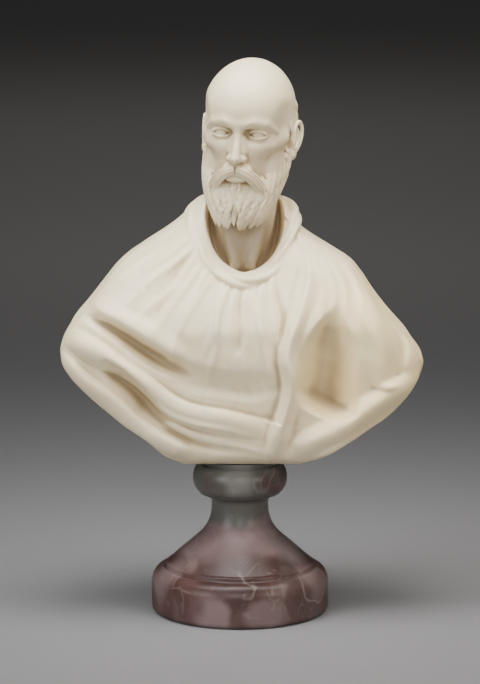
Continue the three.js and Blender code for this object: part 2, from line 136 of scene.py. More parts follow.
class Tone:
    """A socket of a material, so that a pattern is written as sums and products of patterns"""

    def __init__(self, finish, socket):
        self.finish, self.socket = finish, socket

    def maths(self, operation, first, second):
        return self.finish.node("ShaderNodeMath", {"operation": operation}, {0: first, 1: second})["Value"]

    def __add__(self, other):
        return self.maths("ADD", self, other)

    def __sub__(self, other):
        return self.maths("SUBTRACT", self, other)

    def __mul__(self, other):
        return self.maths("MULTIPLY", self, other)

    def __rsub__(self, other):
        return self.maths("SUBTRACT", other, self)

    __radd__, __rmul__ = __add__, __mul__

    def most(self, other):
        return self.maths("MAXIMUM", self, other)

    def size(self):
        return self.maths("ABSOLUTE", self, 0)

    def between(self, low, high):
        """0 below low, 1 above high and soft between, or the other way round if low is above high"""
        limits = {"Value": self, "From Min": low, "From Max": high}
        return self.finish.node("ShaderNodeMapRange", {"interpolation_type": "SMOOTHSTEP"}, limits)["Result"]


class Finish:
    """A material whose pattern lies in the block itself, in the frame's metres"""

    def __init__(self, name, **plain):
        self.material = bpy.data.materials.new(name)
        self.material.use_nodes = True
        self.tree = self.material.node_tree
        self.shader = next(n for n in self.tree.nodes if n.type == "BSDF_PRINCIPLED")
        for socket, value in plain.items():
            self.shader.inputs[socket.replace("_", " ")].default_value = value
        self.place = self.node("ShaderNodeTexCoord")["Object"]

    def node(self, kind, settings=None, sockets=None):
        """A node's outputs by name, once its settings are made and its sockets are filled"""
        made = self.tree.nodes.new(kind)
        for setting, value in (settings or {}).items():
            setattr(made, setting, value)
        for socket, value in (sockets or {}).items():
            self.fill(made.inputs[socket], value)
        return {out.name: Tone(self, out) for out in made.outputs if out.enabled}

    def fill(self, socket, value):
        if isinstance(value, Tone):
            self.tree.links.new(value.socket, socket)
        elif socket.type == "RGBA":
            socket.default_value = (*value, 1)
        else:
            socket.default_value = value

    def noise(self, size, detail, place=None):
        """Cloudy noise from 0 to 1, with clouds about size metres across"""
        sockets = {"Vector": place or self.place, "Scale": 1 / size, "Detail": detail}
        return self.node("ShaderNodeTexNoise", {}, sockets)["Fac"]

    def mix(self, first, second, share):
        """Colours laid one over the other, by a share of the second"""
        return self.node("ShaderNodeMix", {"data_type": "RGBA"}, {0: share, 6: first, 7: second})["Result"]

    def away(self, centre, place=None):
        """How far off a centre each place lies, in metres"""
        sockets = {0: place or self.place, 1: centre}
        return self.node("ShaderNodeVectorMath", {"operation": "DISTANCE"}, sockets)["Value"]

    def shifted(self, shift, size):
        """The pattern's place, pushed about by up to shift metres by clouds of a size"""
        push = self.node("ShaderNodeTexNoise", {}, {"Vector": self.place, "Scale": 1 / size})["Color"]
        settings = {"operation": "MULTIPLY_ADD"}
        sockets = {0: push, 1: (shift, shift, shift), 2: self.place}
        return self.node("ShaderNodeVectorMath", settings, sockets)["Vector"]

    def show(self, **patterns):
        for socket, pattern in patterns.items():
            self.fill(self.shader.inputs[socket.replace("_", " ")], pattern)

    def relief(self, height, depth):
        """Fine relief, as a height from 0 to 1 of a depth in metres"""
        sockets = {"Height": height, "Distance": depth, "Strength": 1.0}
        self.show(Normal=self.node("ShaderNodeBump", {}, sockets)["Normal"])


WINE, PLUM, SLATE = (0.062, 0.028, 0.024), (0.096, 0.051, 0.048), (0.092, 0.092, 0.082)
OXBLOOD_SHADE = (0.03, 0.013, 0.012)
ROSE, ASH_HIGHLIGHT, VEIN = (0.3, 0.222, 0.222), (0.27, 0.255, 0.235), (0.36, 0.31, 0.28)
BLOCKS_PER_METRE = 34
SWIRL = 0.03  # metres, and clouds lie half of it off their places
# Clouds with a place of their own: centre, the distances where each ends and is full, colour, and
# share. Most are the block's own colour; the dark ones on the front of the drum are painted shade, and
# the pale ones on the drum's sides and on the front of the cap are painted highlights
PLACED_CLOUDS_AND_PAINTED_LIGHT = [
    ((0, 0, 0.056), (0.05, 0.036), ROSE, 0.45),
    # Painted shade: two dark clouds darken the front of the drum's rounded shoulder
    ((-0.002, -0.05, 0.038), (0.036, 0.014), OXBLOOD_SHADE, 0.85),
    ((0.036, -0.04, 0.037), (0.024, 0.01), OXBLOOD_SHADE, 0.6),
    # Painted highlights: two pale clouds on the left and right of the drum's shoulder
    ((-0.054, -0.024, 0.03), (0.024, 0.01), ROSE, 0.35),
    ((0.054, -0.024, 0.03), (0.024, 0.01), ROSE, 0.35),
    ((-0.02, -0.058, 0.008), (0.018, 0.008), ROSE, 0.5),
    ((0.016, -0.058, 0.01), (0.016, 0.008), ROSE, 0.3),
    ((0, 0, 0.092), (0.036, 0.03), SLATE, 0.9),
    # Painted highlight: a pale cloud on the front of the cap
    ((-0.004, -0.032, 0.1), (0.016, 0.006), ASH_HIGHLIGHT, 0.45),
]

red_marble = Finish("red_marble", IOR=1.5, Specular_IOR_Level=0.25)
swirled = red_marble.shifted(SWIRL, 0.035)
clouds = red_marble.noise(0.03, 4, swirled)
stains = red_marble.noise(0.05, 2.5, red_marble.shifted(0.025, 0.03))
broken = {"Vector": swirled, "Scale": BLOCKS_PER_METRE}
blocks = red_marble.node("ShaderNodeTexVoronoi", {}, broken)["Color"]
seams = red_marble.node("ShaderNodeTexVoronoi", {"feature": "DISTANCE_TO_EDGE"}, broken)["Distance"]
grey_blocks = red_marble.node("ShaderNodeSeparateColor", {}, {"Color": blocks})["Red"]
body_colour = red_marble.mix(WINE, PLUM, clouds.between(0.35, 0.65))
level = red_marble.node("ShaderNodeSeparateXYZ", {}, {"Vector": red_marble.place})["Z"]
above_drum = level.between(0.024, 0.046)
grey = stains.between(0.5, 0.62).most(grey_blocks.between(0.6, 0.8) * 0.7)
body_colour = red_marble.mix(body_colour, SLATE, grey * (0.2 + 0.6 * above_drum))
body_colour = red_marble.mix(body_colour, ROSE, red_marble.noise(0.028, 4, swirled).between(0.55, 0.72) * 0.4)
for place, reach, colour, share in PLACED_CLOUDS_AND_PAINTED_LIGHT:
    away = red_marble.away(Vector(place) + Vector((SWIRL / 2, SWIRL / 2, SWIRL / 2)), swirled)
    body_colour = red_marble.mix(body_colour, colour, away.between(*reach) * share)
body_colour = red_marble.mix(body_colour, ROSE, red_marble.noise(0.006, 3, swirled).between(0.6, 0.78) * 0.3)
hair_seams = seams.between(0.03, 0.0) * red_marble.noise(0.03, 3).between(0.5, 0.7)
pale_vein = (red_marble.noise(0.07, 2.5, red_marble.shifted(0.05, 0.05)) - 0.5).size().between(0.014, 0.001)
pale_vein = pale_vein * red_marble.noise(0.04, 2).between(0.4, 0.65)
body_colour = red_marble.mix(body_colour, VEIN, (hair_seams * 0.18).most(pale_vein * 0.3))
red_marble.show(Base_Color=body_colour, Roughness=0.26 + 0.16 * red_marble.noise(0.012, 4))
red_marble.relief(red_marble.noise(0.002, 3), 0.00002)

socle = turned("socle_turned", socle_profile(), SOCLE_SIDES)
socle.data.materials.append(red_marble.material)
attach(socle, "root")
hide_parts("socle")


# The bust
# One block of cream marble, carved with chisel and rasp and softly polished: a bald head with a fringe
# of hair and a forked beard, a pleated tunic, and a mantle that hangs from one shoulder. It is modelled
# as clay on a grid, in two blocks that are then joined, the head in its own upright frame.

FOOT = (np.array(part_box("bust")[0]) / MM)[2]  # the height of the bust's flat foot


def join(a, b, soft):
    """The union of two forms with a fillet, each given as the distance from its surface"""
    return np.minimum(a, b) - np.maximum(soft - np.abs(a - b), 0) ** 2 / (4 * soft)


def meet(a, b, soft):
    """What two forms share, with a rounded edge"""
    return -join(-a, -b, soft)


class Clay:
    """A block of clay as a grid of distances from its surface, negative inside"""

    FAR = 60.0  # the most that a distance is
    WIDE = 14.0  # how far round a form its fillets are worked

    def __init__(self, low, high, cell):
        self.low, self.cell = np.array(low, float), cell
        count = np.ceil((np.array(high) - self.low) / cell).astype(int) + 1
        self.gap = np.full(count, self.FAR, np.float32)

    def around(self, low, high):
        """The part of the grid between two corners, and the x, y and z of its points"""
        first = np.maximum(((low - self.low) / self.cell).astype(int), 0)
        last = np.minimum(((high - self.low) / self.cell).astype(int) + 2, self.gap.shape)
        part = tuple(slice(a, b) for a, b in zip(first, last))
        steps = [self.low[i] + self.cell * np.arange(first[i], last[i]) for i in range(3)]
        return part, np.meshgrid(*[s.astype(np.float32) for s in steps], indexing="ij", sparse=True)

    def work(self, form, soft, blend):
        gap, low, high = form
        margin = self.WIDE if soft >= 1.5 else soft + 1
        part, place = self.around(low - margin, high + margin)
        self.gap[part] = blend(self.gap[part], gap(*place), soft)

    def add(self, form, soft):
        """A form put on, with a fillet"""
        self.work(form, soft, join)

    def cut(self, form, soft):
        """A form carved out, with a rounded edge"""
        self.work(form, soft, lambda a, b, k: meet(a, -b, k))

    def mesh(self, name):
        """A mesh through the surface: a corner in each cell that it crosses, and a face on each such edge"""
        inside = self.gap < 0
        cells = tuple(n - 1 for n in inside.shape)
        corners = np.zeros(cells, np.uint8)
        offsets = [(i, j, k) for i in (0, 1) for j in (0, 1) for k in (0, 1)]
        view = lambda grid, o: grid[tuple(slice(a, a + n) for a, n in zip(o, cells))]
        for offset in offsets:
            corners += view(inside, offset)
        crossed = (corners > 0) & (corners < 8)
        number = np.full(cells, -1, np.int32)
        number[crossed] = np.arange(crossed.sum())
        where = np.argwhere(crossed)
        total, hits = np.zeros((len(where), 3)), np.zeros(len(where))
        faces = []
        for axis in range(3):
            step = np.eye(3, dtype=int)[axis]
            for offset in offsets:
                if offset[axis]:
                    continue
                near = self.gap[tuple((where + offset).T)]
                far = self.gap[tuple((where + offset + step).T)]
                hit = (near < 0) != (far < 0)
                share = near[hit] / (near[hit] - far[hit])
                total[hit] += np.array(offset) + share[:, None] * step
                hits += hit
            before = inside[tuple(slice(0, -1) if i == axis else slice(1, -1) for i in range(3))]
            after = inside[tuple(slice(1, None) if i == axis else slice(1, -1) for i in range(3))]
            edges = np.argwhere(before != after) + 1 - step
            u, v = np.eye(3, dtype=int)[(axis + 1) % 3], np.eye(3, dtype=int)[(axis + 2) % 3]
            ring = [number[tuple((edges - back).T)] for back in (0 * u, u, u + v, v)]
            quads = np.stack(ring, 1)
            leaving = inside[tuple(edges.T)]
            faces.append(np.where(leaving[:, None], quads, quads[:, ::-1]))
        points = (self.low + self.cell * (where + total / hits[:, None])) * MM
        faces = np.concatenate(faces)
        mesh = bpy.data.meshes.new(name)
        mesh.vertices.add(len(points))
        mesh.vertices.foreach_set("co", points.ravel())
        mesh.loops.add(faces.size)
        mesh.loops.foreach_set("vertex_index", faces.ravel())
        mesh.polygons.add(len(faces))
        mesh.polygons.foreach_set("loop_start", np.arange(0, faces.size, 4))
        mesh.update(calc_edges=True)
        mesh.validate()
        piece = bpy.data.objects.new(name, mesh)
        bpy.context.scene.collection.objects.link(piece)
        return piece

    def matter(self, spread):
        """The share of stone in a box about each point of the grid, half on a flat face"""
        share = np.clip(0.5 - self.gap / self.cell, 0, 1)
        half = max(round(spread / self.cell), 1)
        for axis in range(3):
            edges = [(half + 1, half) if i == axis else (0, 0) for i in range(3)]
            sums = np.cumsum(np.pad(share, edges), axis=axis, dtype=np.float32)
            upper = np.take(sums, range(2 * half + 1, sums.shape[axis]), axis)
            lower = np.take(sums, range(0, sums.shape[axis] - 2 * half - 1), axis)
            share = (upper - lower) / (2 * half + 1)
        return share

    def read(self, grid, points):
        """The values of a grid between its points, held level past its edges"""
        place = np.clip((points - self.low) / self.cell, 0, np.array(grid.shape) - 1.001)
        first = place.astype(int)
        share = place - first
        values = 0
        for offset in np.ndindex(2, 2, 2):
            weight = np.prod(np.where(offset, share, 1 - share), axis=1)
            values = values + weight * grid[tuple((first + offset).T)]
        return values


def egg(centre, radii, turn=(0, 0, 0)):
    """An ellipsoid, turned about its centre by degrees round x, y and z"""
    spin = np.array(Euler([math.radians(a) for a in turn]).to_matrix()).T
    reach = np.abs(spin.T) @ radii

    def gap(x, y, z):
        x, y, z = x - centre[0], y - centre[1], z - centre[2]
        if any(turn):
            x, y, z = (row[0] * x + row[1] * y + row[2] * z for row in spin)
        size = np.sqrt((x / radii[0]) ** 2 + (y / radii[1]) ** 2 + (z / radii[2]) ** 2)
        steepness = np.sqrt((x / radii[0] ** 2) ** 2 + (y / radii[1] ** 2) ** 2 + (z / radii[2] ** 2) ** 2)
        return size * (size - 1) / np.maximum(steepness, 1e-4)

    return gap, centre - reach, centre + reach


def cord(points, radii):
    """A round cord through points, with a radius at each"""
    points = np.array(points, float)
    radii = np.broadcast_to(radii, len(points))

    def gap(x, y, z):
        nearest = np.float32(Clay.FAR)
        for start, end, thick, thin in zip(points, points[1:], radii, radii[1:]):
            d = end - start
            rx, ry, rz = x - start[0], y - start[1], z - start[2]
            t = np.clip((rx * d[0] + ry * d[1] + rz * d[2]) / max(d @ d, 1e-6), 0, 1)
            away = np.sqrt((rx - t * d[0]) ** 2 + (ry - t * d[1]) ** 2 + (rz - t * d[2]) ** 2)
            nearest = np.minimum(nearest, away - thick - t * (thin - thick))
        return nearest

    reach = radii.max()
    return gap, points.min(0) - reach, points.max(0) + reach


# The head's own frame has +Z up through the crown, -Y through the nose, and its centre half way up.
HEAD_CENTRE = Vector((6, -2, 341.1))
HEAD_SIZE = 0.93  # the sizes below are those of a head 100 mm from crown to chin
HEAD_NOD, HEAD_LEAN, HEAD_TURN = 3, 3, -12  # degrees: forwards, to the left shoulder, to the right
HEAD_CELL = 0.52
head_place = (
    Matrix.Translation(HEAD_CENTRE)
    @ Matrix.Rotation(math.radians(HEAD_TURN), 4, "Z")
    @ Matrix.Rotation(math.radians(HEAD_LEAN), 4, "Y")
    @ Matrix.Rotation(math.radians(HEAD_NOD), 4, "X")
    @ Matrix.Scale(HEAD_SIZE, 4)
)
head = Clay((-44, -54, -76), (44, 54, 54), HEAD_CELL)

# Skull, jaw and cheeks
head.add(egg((0, 5, 13), (33, 41.5, 37)), 2)
head.add(egg((0, -8, 15), (27.5, 30.5, 26)), 12)
head.add(egg((0, -9, -16), (26, 28, 33)), 12)
for side in (-1, 1):
    head.add(cord([(side * 24, 2, -22), (side * 18, -16, -38), (side * 7, -30, -45)], [6, 7, 7]), 8)
    head.cut(egg((side * 36, -20, 10), (7.5, 16, 13)), 8)
    head.add(cord([(side * 12, -29, -10), (side * 20.5, -23.8, -8), (side * 28, -10, -5)], [5, 5.4, 3.4]), 8)
    head.cut(egg((side * 26, -30, -21), (5.5, 8, 7)), 7)
head.add(egg((0, -30, -44), (9, 8, 8)), 6)

# Eyes: the socket, the lids as a shell round the ball, and an almond opening in them
EYE_ACROSS, EYE_DEPTH, BALL = 13.5, -28.8, 5.7
OPENING, UPPER_LID, LOWER_LID = 6.2, 2.8, 1.8
EYEBROW_STROKES = 14


def almond(x0):
    """The opening of the lids: what two discs share, seen from in front"""
    discs = [
        ((OPENING**2 + rise**2) / (2 * rise), sign * (rise - (OPENING**2 + rise**2) / (2 * rise)))
        for rise, sign in ((UPPER_LID, 1), (LOWER_LID, -1))
    ]

    def gap(x, y, z):
        upper, lower = (np.hypot(x - x0, z - middle) - radius for radius, middle in discs)
        return np.maximum(np.maximum(upper, lower), y - EYE_DEPTH)

    low = np.array([x0 - OPENING, EYE_DEPTH - 14, -LOWER_LID])
    return gap, low, np.array([x0 + OPENING, EYE_DEPTH, UPPER_LID])


for side in (-1, 1):
    x0 = side * EYE_ACROSS
    head.cut(egg((x0, -41.5, 0.5), (9.5, 9.5, 6.5)), 4)
    head.cut(egg((side * 6.8, -37.5, 1.5), (3.2, 4.5, 4)), 3)
brow = [(-26, -23, 2.4), (-19, -32, 8.4), (-11, -36.4, 9.8), (-4, -37.6, 8), (0, -37.6, 7.4)]
brow += [(-x, y, z) for x, y, z in brow[-2::-1]]
head.add(cord(brow, [0.6, 2.6, 3.2, 3, 2.8, 3, 3.2, 2.6, 0.6]), 4)
for side in (-1, 1):
    x0 = side * EYE_ACROSS
    head.add(egg((x0, EYE_DEPTH, 0), (7.4, BALL + 1.1, 6.1)), 1.6)
    head.cut(almond(x0), 0.3)
    head.add(egg((x0, EYE_DEPTH, 0), (BALL, BALL, BALL)), 0.3)
    for rise, lift, thick in ((UPPER_LID, 0.9, 0.8), (-LOWER_LID, -0.6, 0.6)):
        rim = []
        for x in np.linspace(-OPENING - 0.4, OPENING + 0.4, 9):
            z = rise * (1 - (x / (OPENING + 0.8)) ** 2) + lift
            rim.append((x0 + x, EYE_DEPTH - math.sqrt(max((BALL + 0.9) ** 2 - 0.72 * x * x - z * z, 4)), z))
        head.add(cord(rim, thick), 0.8)
    # Eyebrows, as short strokes that fan from the nose to the temple
    eyebrow = [
        (side * 4.8, -40.5, 8), (side * 11, -39.8, 10.5), (side * 18, -35.2, 9.9), (side * 24.5, -27.8, 5.8),
    ]
    for share in np.linspace(0.02, 0.84, EYEBROW_STROKES):
        stroke = curve(eyebrow, share + np.array([0, 0.08, 0.15]))
        stroke[:, 2] += np.array([-1.7, 0, 1.7]) * (1 - 1.1 * share)
        head.add(cord(stroke, np.array([0.35, 0.62, 0.3]) * (1.1 - 0.5 * share)), 0.15)

# Nose and mouth
head.add(cord([(0, -36.5, 6), (0, -39.6, -4), (0, -43.6, -12), (0, -45, -16)], [2.6, 2.9, 3.3, 3.9]), 3.5)
for side in (-1, 1):
    head.add(cord([(side * 3.4, -36, -3), (side * 4.2, -38, -12)], [2.2, 2.8]), 3)
    head.add(egg((side * 4.9, -40, -17.2), (2.7, 4.5, 2.8), (0, side * 14, side * -16)), 2.2)
head.add(egg((0, -45, -16.6), (3.5, 3.4, 3.1)), 2)
for side in (-1, 1):
    head.cut(egg((side * 2.9, -42.6, -20.4), (1.5, 2.6, 1.3), (0, 0, side * -20)), 0.5)
    beside_nose = [(side * 7.6, -38.5, -15), (side * 10.5, -37, -22), (side * 13, -34.5, -30)]
    head.cut(cord(beside_nose, [0.5, 0.9, 0.5]), 2.5)
head.add(egg((0, -36.2, -27), (11.5, 5, 7)), 3)
head.add(egg((0, -39.2, -32.6), (7.6, 3, 2.3)), 1.2)
head.add(egg((0, -39.7, -28.6), (8, 2.6, 1.9)), 1.0)
head.cut(cord([(-8.5, -40, -30.9), (0, -43, -30.4), (8.5, -40, -30.9)], [0.4, 0.7, 0.4]), 0.8)

# Ears
RIM_STEPS = 24
for side in (-1, 1):

    def on_ear(y, z, out):
        """A place on the ear, by how far it lies behind and above its middle, and out from the skull"""
        lean = math.radians(-9)
        return (
            side * (33.2 + out + 0.16 * y),
            7.5 + y * math.cos(lean) - z * math.sin(lean),
            -7 + y * math.sin(lean) + z * math.cos(lean),
        )

    def ridge(places, radii, soft):
        """A smooth ridge on the ear"""
        share = np.linspace(0, 1, RIM_STEPS)
        head.add(cord(curve([on_ear(*p) for p in places], share), curve(radii, share)), soft)

    head.add(egg(on_ear(1, 0, -0.5), (2.6, 7.6, 12.4), (-9, 0, side * 12)), 1.5)
    head.cut(egg(on_ear(-0.5, -2.5, 3.4), (3.2, 4.6, 7.4), (-9, 0, side * 12)), 1.0)
    rim = [(-5.4, -2, 0.6), (-5.6, 5, 1.2), (-2.2, 10.6, 1.8), (3, 11.6, 2.2), (7, 7.6, 2.6), (7.4, 1, 2.6),
           (5.6, -5, 2.0), (2.6, -9.4, 1.2)]
    ridge(rim, [1.2, 1.4, 1.5, 1.5, 1.5, 1.4, 1.3, 1.2], 0.7)
    ridge([(1.4, 6.8, 1.3), (3.8, 3, 1.8), (4, -2.6, 1.8), (2, -6.6, 1.4), (-1.6, -8, 1.0)],
          [0.8, 1.1, 1.2, 1.1, 0.9], 0.8)
    head.add(egg(on_ear(-4.6, -3.6, 1.2), (1.5, 1.9, 2.4)), 0.9)
    head.add(egg(on_ear(-1, -12, 0.6), (1.9, 3.2, 3.6)), 1.2)

# Beard and hair: full masses first, and then rows of locks that lie on them like tiles, each tip over
# the roots of the next row. A lock is a few strands that start side by side and meet in a point.
chance = np.random.default_rng(7)
STRANDS, STRAND_FILLET = 4, 0.35
TAPER = np.array([0.42, 0.8, 1.0, 1.0, 0.92, 0.78, 0.55, 0.2])


def lock(path, out, width):
    """A lock along a path, with the unit vectors out of the head at its points"""
    along = np.gradient(path, axis=0)
    across = np.cross(along, out)
    across /= np.linalg.norm(across, axis=1)[:, None]
    for strand in range(STRANDS):
        aside = (strand - (STRANDS - 1) / 2) / STRANDS * width
        sunk = abs(aside) * 0.42 + chance.uniform(0, 0.3)
        points = path + across * (aside * TAPER)[:, None] - out * sunk
        head.add(cord(points, 0.185 * width * TAPER**0.7 * chance.uniform(0.9, 1.1)), STRAND_FILLET)


def outwards(path, middle):
    """Unit vectors from an upright axis through the places of a path"""
    out = (path - middle) * (1, 1, 0.35)
    return out / np.linalg.norm(out, axis=1)[:, None]


# Lines across each half of the beard, from below the ear to the middle of the chin, downwards
BEARD_LINES = [
    [(32, 0, -9), (27, -16.5, -19), (17, -29.5, -31), (4.5, -37.5, -38)],
    [(32.5, -2, -24), (29, -19, -33), (20, -32.5, -43), (3.5, -41, -47)],
    [(30, -6, -38), (27, -19, -47), (19.5, -32.5, -55), (3.5, -41.5, -58)],
    [(22, -9, -51), (20.5, -19, -60), (15.5, -30.5, -68), (5, -38, -70)],
]
BEARD_ROWS = [(0.0, 0.44), (0.19, 0.66), (0.4, 0.86), (0.62, 1.03)]
BEARD_LOCKS = 9
for side in (-1, 1):
    head.add(egg((side * 20.5, -10, -30), (9.8, 14, 19)), 6)
    head.add(egg((side * 11.5, -25, -48), (10.8, 12.2, 16)), 5)
    head.add(cord([(side * 25, 6, -18), (side * 20, -2, -36), (side * 11, -14, -52)], [7, 9, 8]), 6)
head.add(egg((0, -34, -49), (9, 6.6, 14)), 4)
for side in (-1, 1):
    lines = (np.array(BEARD_LINES) * (side, 1, 1)).transpose(1, 0, 2)
    for row, (root, tip) in enumerate(BEARD_ROWS):
        phase = chance.uniform(0, 1)
        for i in range(BEARD_LOCKS):
            down = np.linspace(root, tip + chance.uniform(-0.04, 0.04), len(TAPER))
            share = (i + 0.25 + 0.5 * (row % 2)) / BEARD_LOCKS
            sway = 0.055 * np.sin(6 * (down - root) / (tip - root) + phase + 0.35 * i)
            path = np.array([curve(curve(lines, s), d) for d, s in zip(down, share + sway)])
            out = outwards(path, (0, -4, -34))
            path += out * np.interp(down, (root, 0.7 * root + 0.3 * tip, tip), (-3, -0.1, 1.0))[:, None]
            lock(path, out, chance.uniform(4.2, 5.4))

# Two locks down the middle of the chin, over the parting
for root, tip in ((-38, -56), (-50, -67)):
    height = np.linspace(root, tip, len(TAPER))
    path = np.stack([0.7 * np.sin(height / 3), -41 - 1.6 * np.sin((height - root) / 6), height], 1)
    lock(path, outwards(path, (0, -4, -34)), 5)

# The moustache, and the tuft below the lip
WHISKERS = 6
for side in (-1, 1):
    under_whiskers = [(side * 2, -39.5, -26), (side * 8, -39.4, -28.5), (side * 14, -35.6, -33.5)]
    head.add(cord(under_whiskers, [2.4, 2.8, 2.2]), 2)
    for low in np.linspace(0, 1, WHISKERS):
        path = curve(
            [(side * 1.2, -42.4, -22.8 - 4.8 * low), (side * (7.2 - 0.8 * low), -42.2, -23.4 - 7 * low),
             (side * (14 - 2.4 * low), -38.6, -27.6 - 8 * low),
             (side * (19.6 - 5 * low), -34.6, -34.6 - 7.6 * low),
             (side * (22.6 - 8 * low), -31 - 3 * low, -42.5 - 7.5 * low)],
            np.linspace(0, 1, 10),
        )
        path[:, 1] -= 1.1 * math.sin(math.pi * low) + 0.3 * (round(low * 5) % 2)
        head.add(cord(path, [0.7, 0.8, 0.85, 0.85, 0.85, 0.82, 0.78, 0.7, 0.55, 0.25]), 0.15)
for aside in (-2.4, 0, 2.4):
    tuft = [(aside, -37.2, -35.5), (aside * 1.3, -39.2, -40), (aside * 0.8, -40.2, -47)]
    head.add(cord(tuft, [0.9, 1.3, 0.6]), 0.4)


def through(pairs):
    """A smooth line through pairs of position and value, level past its ends"""
    at, value = np.array(pairs, float).T
    slope = np.gradient(value, at)

    def line(place):
        place = np.clip(place, at[0], at[-1])
        i = np.clip(np.searchsorted(at, place) - 1, 0, len(at) - 2)
        span = at[i + 1] - at[i]
        t = (place - at[i]) / span
        bend = t * (1 - t) * span * ((1 - t) * slope[i] - t * slope[i + 1])
        return value[i] + (value[i + 1] - value[i]) * t * t * (3 - 2 * t) + bend

    return line


# Rows of hair from the temples round the back: where each row starts, its length, and how far forward
# it reaches, as an angle from straight sideways. The head's girth under them goes by height.
HAIR_ROWS = [(21, 23, -0.32), (10, 22, 0.3), (-2, 21, 0.5), (-12, 17, 0.68)]
HAIR_STEP = 0.16
hair_across = through([(-32, 23), (-16, 31), (-4, 34.2), (8, 34.8), (18, 33.8), (28, 31)])
hair_deep = through([(-32, 27), (-16, 35), (-4, 39), (8, 40.6), (18, 40), (28, 37.5)])
head.add(egg((0, 12, -5), (32, 31.5, 25)), 4)
for side in (-1, 1):
    for row, (top, drop, start) in enumerate(HAIR_ROWS):
        for i in range(round((math.pi / 2 - start) / HAIR_STEP) + 1):
            turn = start + (i + 0.5 * (row % 2)) * HAIR_STEP + chance.uniform(-0.03, 0.03)
            if turn > math.pi / 2 + 0.05:
                continue
            fall = np.linspace(0, 1, len(TAPER))
            height = top + 2.5 * math.sin(2 * turn) + chance.uniform(-2.5, 2)
            height = height - drop * fall * chance.uniform(0.85, 1.1)
            sweep = 0.3 * math.cos(turn) * fall
            curl = turn + sweep + 0.075 * np.sin(6.2 * fall + 0.5 * i + row) * chance.uniform(0.7, 1.2)
            path = np.stack(
                [side * hair_across(height) * np.cos(curl), 6.5 + hair_deep(height) * np.sin(curl), height], 1
            )
            out = outwards(path, (0, 6.5, 0))
            front = max(0.7 - turn, 0)
            lift = np.interp(fall, (0, 0.35, 1), (-2.6 - front, -1.8 * front, 1.1 - 1.2 * front))
            path += out * lift[:, None]
            lock(path, out, chance.uniform(4.2, 5.4) * (1 - 0.25 * front))

# The cloth. Outlines are seen from in front, as height and half-width, on the bust's right and left.
RIGHT_OUTLINE = [
    (180, 125.5), (192, 123), (205, 116), (218, 105.5), (232, 95), (246, 84), (253, 76.5),
    (260, 67), (267, 56), (274, 46), (281, 38), (287, 33), (291, 30),
]
LEFT_OUTLINE = [
    (172, 128), (183, 125.5), (197, 115.5), (211, 103.5), (225, 93), (239, 84), (248, 76.5), (253, 69.5),
    (260, 58.5), (267, 47.5), (274, 40), (281, 36.5), (287, 33.5), (291, 31),
]
# The arc on which arms and chest are cut off below, as half-width and height
RIGHT_CUT = [
    (38, 109), (50, 115.5), (66, 129.5), (81, 139.5), (95, 151), (104, 158.5), (112, 166), (118, 173),
    (122.5, 180), (125.5, 189),
]
LEFT_CUT = [
    (40, 109), (58, 116), (75, 126.5), (90, 136.5), (102, 144.5), (108.5, 150.5), (114.5, 157),
    (120, 164), (124.5, 171.5), (128, 180),
]
# Depth of chest and back on the axis, as height and depth
CHEST = [
    (109, 29), (117, 37.5), (128, 41), (140, 42), (150, 44), (160, 46), (172, 48.5), (184, 50.5), (196, 50.5),
    (208, 50), (220, 45), (232, 38), (244, 31), (256, 24), (268, 18), (280, 14), (291, 8),
]
BACK = [
    (109, 24), (117, 31), (132, 38), (150, 43), (175, 47), (200, 49), (220, 48), (240, 44), (256, 39),
    (270, 38), (282, 38), (291, 38),
]
CLOTH_CELL = 0.95
CLOTH_TOP = 290.5
ROUNDNESS, REACH = 2.4, 135

cloth = Clay((-134, -64, FOOT - 3), (134, 56, 345), CLOTH_CELL)
_, (x, y, z) = cloth.around(cloth.low, cloth.low + cloth.cell * np.array(cloth.gap.shape))

# The ways a fold rises across its width, from 0 on its crest to 1 at its foot, and how soon it rises at
# its start and sinks at its end: the higher the number, the sooner
CRESTS = {
    "soft": (lambda t: (1 - t * t) ** 2, 6.5, 6.5),
    "rolled": (lambda t: (1 - t * t) ** 0.85, 6.5, 6.5),
    "hollow": (lambda t: (1 - t * t) ** 2, 3.2, 2.6),
    "bowl": (lambda t: (1 - t**2.2) ** 1.9, 3, 6),
    "pinched": (lambda t: np.clip(1.1 - np.sqrt(t * t + 0.0144), 0, 1) ** 1.3, 6.5, 2.2),
}


def by_line(line, across, up, steps=20):
    """How far off a line places on the cloth lie, their share of its length, and if they lie to its left"""
    points = curve(line, np.linspace(0, 1, steps))
    nearest = np.full(np.broadcast(across, up).shape, 1e3)
    share, left = np.zeros_like(nearest), np.zeros_like(nearest, bool)
    for i, (a, b) in enumerate(zip(points, points[1:])):
        d, px, pz = b - a, across - a[0], up - a[1]
        t = np.clip((px * d[0] + pz * d[1]) / max(d @ d, 1e-6), 0, 1)
        away = np.hypot(px - t * d[0], pz - t * d[1])
        closer = away < nearest
        nearest = np.where(closer, away, nearest)
        share = np.where(closer, (i + t) / (steps - 1), share)
        left = np.where(closer, d[0] * pz - d[1] * px > 0, left)
    return nearest, share, left


def fold(line, rise, spread, across, up, crest="soft"):
    """How far a fold stands out at places on the cloth, or lies in if its rise is negative. The line is
    seen square on, and the rises, and the spreads to its left and right, are given evenly along it."""
    nearest, share, left = by_line(line, across, up)
    shape, start, end = CRESTS[crest]
    ends = np.clip(np.minimum(share * start, (1 - share) * end) + 0.08, 0, 1)
    ends = ends * ends * (3 - 2 * ends)
    width = np.where(left, curve(spread[0], share), curve(spread[1], share)) * (0.5 + 0.5 * ends)
    return curve(rise, share) * shape(np.clip(nearest / width, 0, 1)) * ends


def layer(line, thick, across, up):
    """An upper layer of cloth to the right of a line, with a rounded edge along it"""
    away, _, left = by_line(line, across, up, 30)
    t = np.clip(np.where(left, -away, away) / 3 + 0.5, 0, 1)
    return thick * t * t * (3 - 2 * t)


